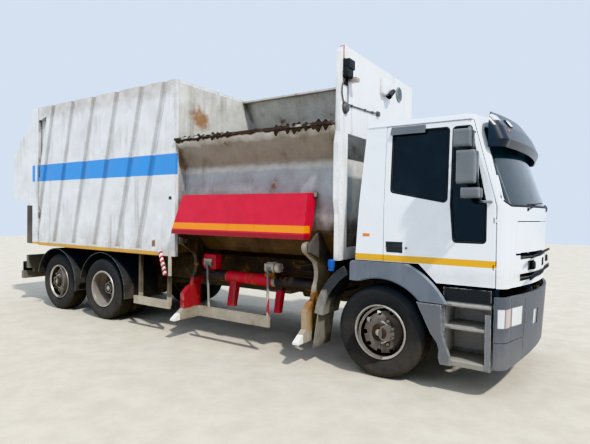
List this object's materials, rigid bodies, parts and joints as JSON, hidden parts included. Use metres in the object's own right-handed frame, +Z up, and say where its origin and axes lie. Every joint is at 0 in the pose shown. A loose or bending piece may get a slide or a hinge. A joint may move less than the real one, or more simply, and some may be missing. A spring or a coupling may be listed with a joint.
{
  "type": "side-loading garbage truck",
  "caption": "Side-loading garbage truck with tilting cab, corrugated body, open hopper, bin lifter and bulging tailgate.",
  "frame": {"origin": "middle of the truck's bounding box at ground level", "axes": "+X forward, +Y to the truck's left, +Z up"},
  "size_m": [9.295, 2.96, 3.811],
  "materials": {
    "white_paint": "dirty white gloss paint",
    "red_paint": "worn red paint",
    "frame_paint": "matt dark chassis paint",
    "beige_paint": "dusty beige paint",
    "dark_plastic": "matt",
    "grey_plastic": "weathered matt",
    "smoked_plastic": "smoked",
    "lamp": "clear lens",
    "glass": "tinted",
    "cast": "oily",
    "tank": "dull",
    "rim": "rusty grey",
    "tyre": "dusty",
    "fabric": "woven"
  },
  "bodies": {
    "chassis": {"frame_rails": "frame_paint", "front_axle": "cast", "drive_axle": "cast", "tag_axle": "cast", "powertrain": "cast", "tanks": "tank", "front_bumper": "grey_plastic", "headlamps": "lamp", "boarding_steps": "dark_plastic", "front_mudguards": "grey_plastic", "rear_mudguards": "dark_plastic", "side_guards": "beige_paint", "rear_underrun": "beige_paint", "body_side_right": "white_paint", "body_side_left": "white_paint", "body_roof": "white_paint", "body_floor": "white_paint", "body_bulkhead": "white_paint", "body_rear_frame": "white_paint", "front_plate": "white_paint", "hopper_tub": "white_paint", "hopper_far_wall": "white_paint", "lift_base": "frame_paint"},
    "cab": {"cab_floor": "white_paint", "cab_shell": "white_paint", "cab_roof": "white_paint", "cab_front": "white_paint", "windscreen": "glass", "seats": "fabric", "dashboard": "dark_plastic", "sun_visor": "smoked_plastic", "cab_mudguards": "grey_plastic"},
    "front_lid": {"cab_lid": "white_paint"},
    "right_door": {"door_right": "white_paint", "door_glass_right": "glass", "mirror_right": "dark_plastic"},
    "left_door": {"door_left": "white_paint", "door_glass_left": "glass", "mirror_left": "dark_plastic"},
    "gate": {"tailgate": "white_paint"},
    "flap": {"loading_flap": "red_paint"},
    "lifter": {"lift_arms": "red_paint"},
    "packer": {"packer_plate": "white_paint"},
    "steer_front_right": {"knuckle_front_right": "cast"},
    "wheel_front_right": {"rim_front_right": "rim", "tyre_front_right": "tyre"},
    "steer_front_left": {"knuckle_front_left": "cast"},
    "wheel_front_left": {"rim_front_left": "rim", "tyre_front_left": "tyre"},
    "steer_tag_right": {"knuckle_tag_right": "cast"},
    "wheel_tag_right": {"rim_tag_right": "rim", "tyre_tag_right": "tyre"},
    "steer_tag_left": {"knuckle_tag_left": "cast"},
    "wheel_tag_left": {"rim_tag_left": "rim", "tyre_tag_left": "tyre"},
    "wheel_drive_right": {"rims_drive_right": "rim", "tyres_drive_right": "tyre"},
    "wheel_drive_left": {"rims_drive_left": "rim", "tyres_drive_left": "tyre"}
  },
  "joints": [
    {"name": "steer_front_right", "type": "hinge", "parent": "chassis", "child": "steer_front_right", "pos_m": [3.1235, -0.95, 0.507], "axis": [0, 0, 1], "range_deg": [-68, 12]},
    {"name": "spin_front_right", "type": "hinge", "parent": "steer_front_right", "child": "wheel_front_right", "pos_m": [3.16106, -1.02064, 0.507], "axis": [-0.4695, 0.8829, 0], "continuous": true},
    {"name": "steer_front_left", "type": "hinge", "parent": "chassis", "child": "steer_front_left", "pos_m": [3.1235, 0.95, 0.507], "axis": [0, 0, 1], "range_deg": [-68, 12]},
    {"name": "spin_front_left", "type": "hinge", "parent": "steer_front_left", "child": "wheel_front_left", "pos_m": [3.08594, 1.02064, 0.507], "axis": [-0.4695, 0.8829, 0], "continuous": true},
    {"name": "steer_tag_right", "type": "hinge", "parent": "chassis", "child": "steer_tag_right", "pos_m": [-3.1375, -0.95, 0.507], "axis": [0, 0, 1], "range_deg": [-5.6, 31.6]},
    {"name": "spin_tag_right", "type": "hinge", "parent": "steer_tag_right", "child": "wheel_tag_right", "pos_m": [-3.1555, -1.02795, 0.507], "axis": [0.225, 0.9744, 0], "continuous": true},
    {"name": "steer_tag_left", "type": "hinge", "parent": "chassis", "child": "steer_tag_left", "pos_m": [-3.1375, 0.95, 0.507], "axis": [0, 0, 1], "range_deg": [-5.6, 31.6]},
    {"name": "spin_tag_left", "type": "hinge", "parent": "steer_tag_left", "child": "wheel_tag_left", "pos_m": [-3.1195, 1.02795, 0.507], "axis": [0.225, 0.9744, 0], "continuous": true},
    {"name": "spin_drive_right", "type": "hinge", "parent": "chassis", "child": "wheel_drive_right", "pos_m": [-1.7775, -0.897, 0.507], "axis": [0, 1, 0], "continuous": true},
    {"name": "spin_drive_left", "type": "hinge", "parent": "chassis", "child": "wheel_drive_left", "pos_m": [-1.7775, 0.897, 0.507], "axis": [0, 1, 0], "continuous": true},
    {"name": "cab_tilt", "type": "hinge", "parent": "chassis", "child": "cab", "pos_m": [4.5525, 0, 1], "axis": [0, 1, 0], "range_deg": [0, 50]},
    {"name": "door_right_swing", "type": "hinge", "parent": "cab", "child": "right_door", "pos_m": [4.3335, -1.176, 1.5], "axis": [0, 0, 1], "range_deg": [0, 75]},
    {"name": "door_left_swing", "type": "hinge", "parent": "cab", "child": "left_door", "pos_m": [4.3335, 1.176, 1.5], "axis": [0, 0, -1], "range_deg": [0, 75]},
    {"name": "front_lid_swing", "type": "hinge", "parent": "cab", "child": "front_lid", "pos_m": [4.6205, 0, 1.728], "axis": [0, -1, 0], "range_deg": [0, 75]},
    {"name": "tailgate_lift", "type": "hinge", "parent": "chassis", "child": "gate", "pos_m": [-3.0475, 0, 3.777], "axis": [0, 1, 0], "range_deg": [0, 80]},
    {"name": "loading_flap_swing", "type": "hinge", "parent": "chassis", "child": "flap", "pos_m": [1.2525, -1.103, 2.03], "axis": [1, 0, 0], "range_deg": [-35, 0]},
    {"name": "lifter_swing", "type": "hinge", "parent": "chassis", "child": "lifter", "pos_m": [1.2525, -1.25, 1.395], "axis": [-1, 0, 0], "range_deg": [0, 150]},
    {"name": "packer_slide", "type": "slide", "parent": "chassis", "child": "packer", "axis": [-1, 0, 0], "range_m": [0, 1.6]}
  ],
  "couplings": [
    {"joint": "steer_front_left", "follows": "steer_front_right", "ratio": 1},
    {"joint": "steer_tag_right", "follows": "steer_front_right", "ratio": -0.4643},
    {"joint": "steer_tag_left", "follows": "steer_front_right", "ratio": -0.4643}
  ]
}
